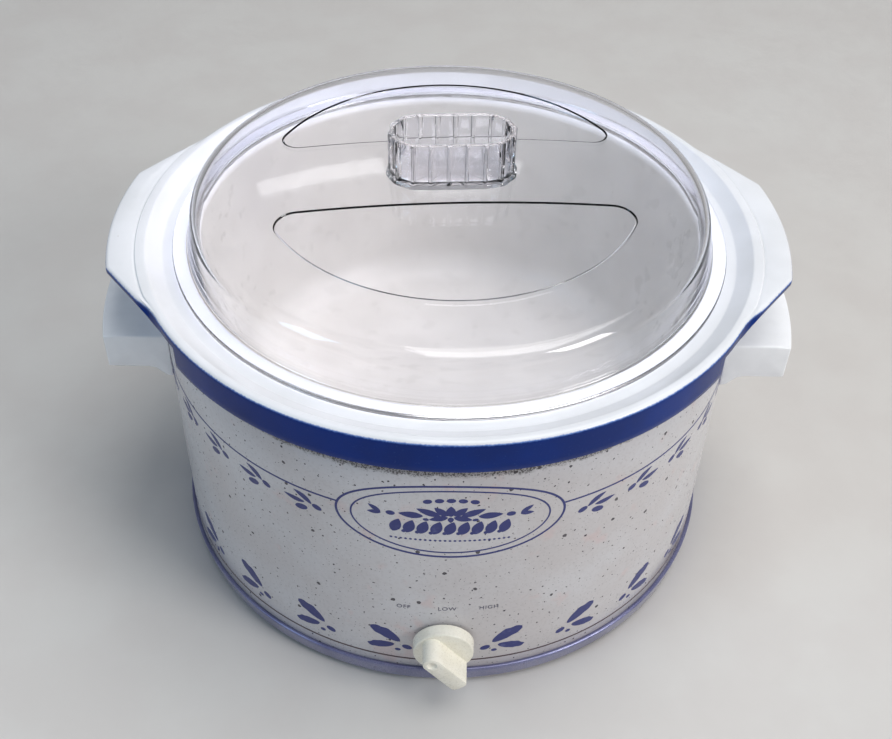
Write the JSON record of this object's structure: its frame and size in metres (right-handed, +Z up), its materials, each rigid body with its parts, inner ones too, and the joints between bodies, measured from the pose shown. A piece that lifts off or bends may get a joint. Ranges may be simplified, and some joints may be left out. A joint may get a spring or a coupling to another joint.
{
  "type": "slow cooker",
  "caption": "Round electric slow cooker: lift-out stoneware crock with ears, clear domed lid with finger cup, steel shell with heating well, side handles and a rotary switch.",
  "frame": {"origin": "on the table, on the axis of the pot, at the centre of the circle of the four feet", "axes": "+Z up along the axis of the pot, -Y to the switch knob at the front, +X to the right handle seen from the front"},
  "size_m": [0.332, 0.3006, 0.2226],
  "materials": {
    "stoneware": "gloss",
    "clear_plastic": "clear gloss",
    "printed_steel": "satin gloss, speckled print",
    "well_metal": "drawn, satin",
    "heater_wrap": "woven glass sleeving",
    "plain_steel": "zinc plated",
    "blue_enamel": "metallic gloss",
    "foot_rubber": "matte",
    "white_plastic": "gloss",
    "ivory_plastic": "gloss",
    "brass": "satin",
    "black_plastic": "moulded",
    "block_ceramic": "matte",
    "lead_brown": "sleeved",
    "lead_blue": "sleeved",
    "lead_white": "sleeved",
    "lead_red": "sleeved"
  },
  "bodies": {
    "base": {"outer_shell": "printed_steel", "heating_well": "well_metal", "heater_band": "heater_wrap", "band_straps": "plain_steel", "strap_screws": "plain_steel", "base_pan": "blue_enamel", "feet": "foot_rubber", "heat_shield": "well_metal", "shield_spacer": "plain_steel", "centre_stud": "plain_steel", "centre_washer": "plain_steel", "centre_nut": "plain_steel", "left_handle": "white_plastic", "right_handle": "white_plastic", "handle_screws": "plain_steel", "switch_housing": "black_plastic", "switch_cover": "black_plastic", "switch_contacts": "brass", "switch_washer": "plain_steel", "switch_nut": "plain_steel", "cord_gland": "black_plastic", "terminal_block": "block_ceramic", "terminal_screws": "plain_steel", "line_lead": "lead_brown", "neutral_lead": "lead_blue", "low_lead": "lead_white", "high_lead": "lead_red"},
    "crock": {"crock": "stoneware"},
    "lid": {"lid_dome": "clear_plastic", "lid_handle": "clear_plastic"},
    "switch": {"knob": "ivory_plastic", "knob_clip": "plain_steel", "switch_shaft": "brass", "switch_rotor": "ivory_plastic"}
  },
  "joints": [
    {"name": "crock_lift", "type": "slide", "parent": "base", "child": "crock", "axis": [0, 0, 1], "range_m": [0, 0.16]},
    {"name": "lid_lift", "type": "slide", "parent": "crock", "child": "lid", "axis": [0, 0, 1], "range_m": [0, 0.1]},
    {"name": "switch_turn", "type": "hinge", "parent": "base", "child": "switch", "pos_m": [0, -0.14, 0.0335], "axis": [0, 1, 0], "range_deg": [0, 76]}
  ]
}
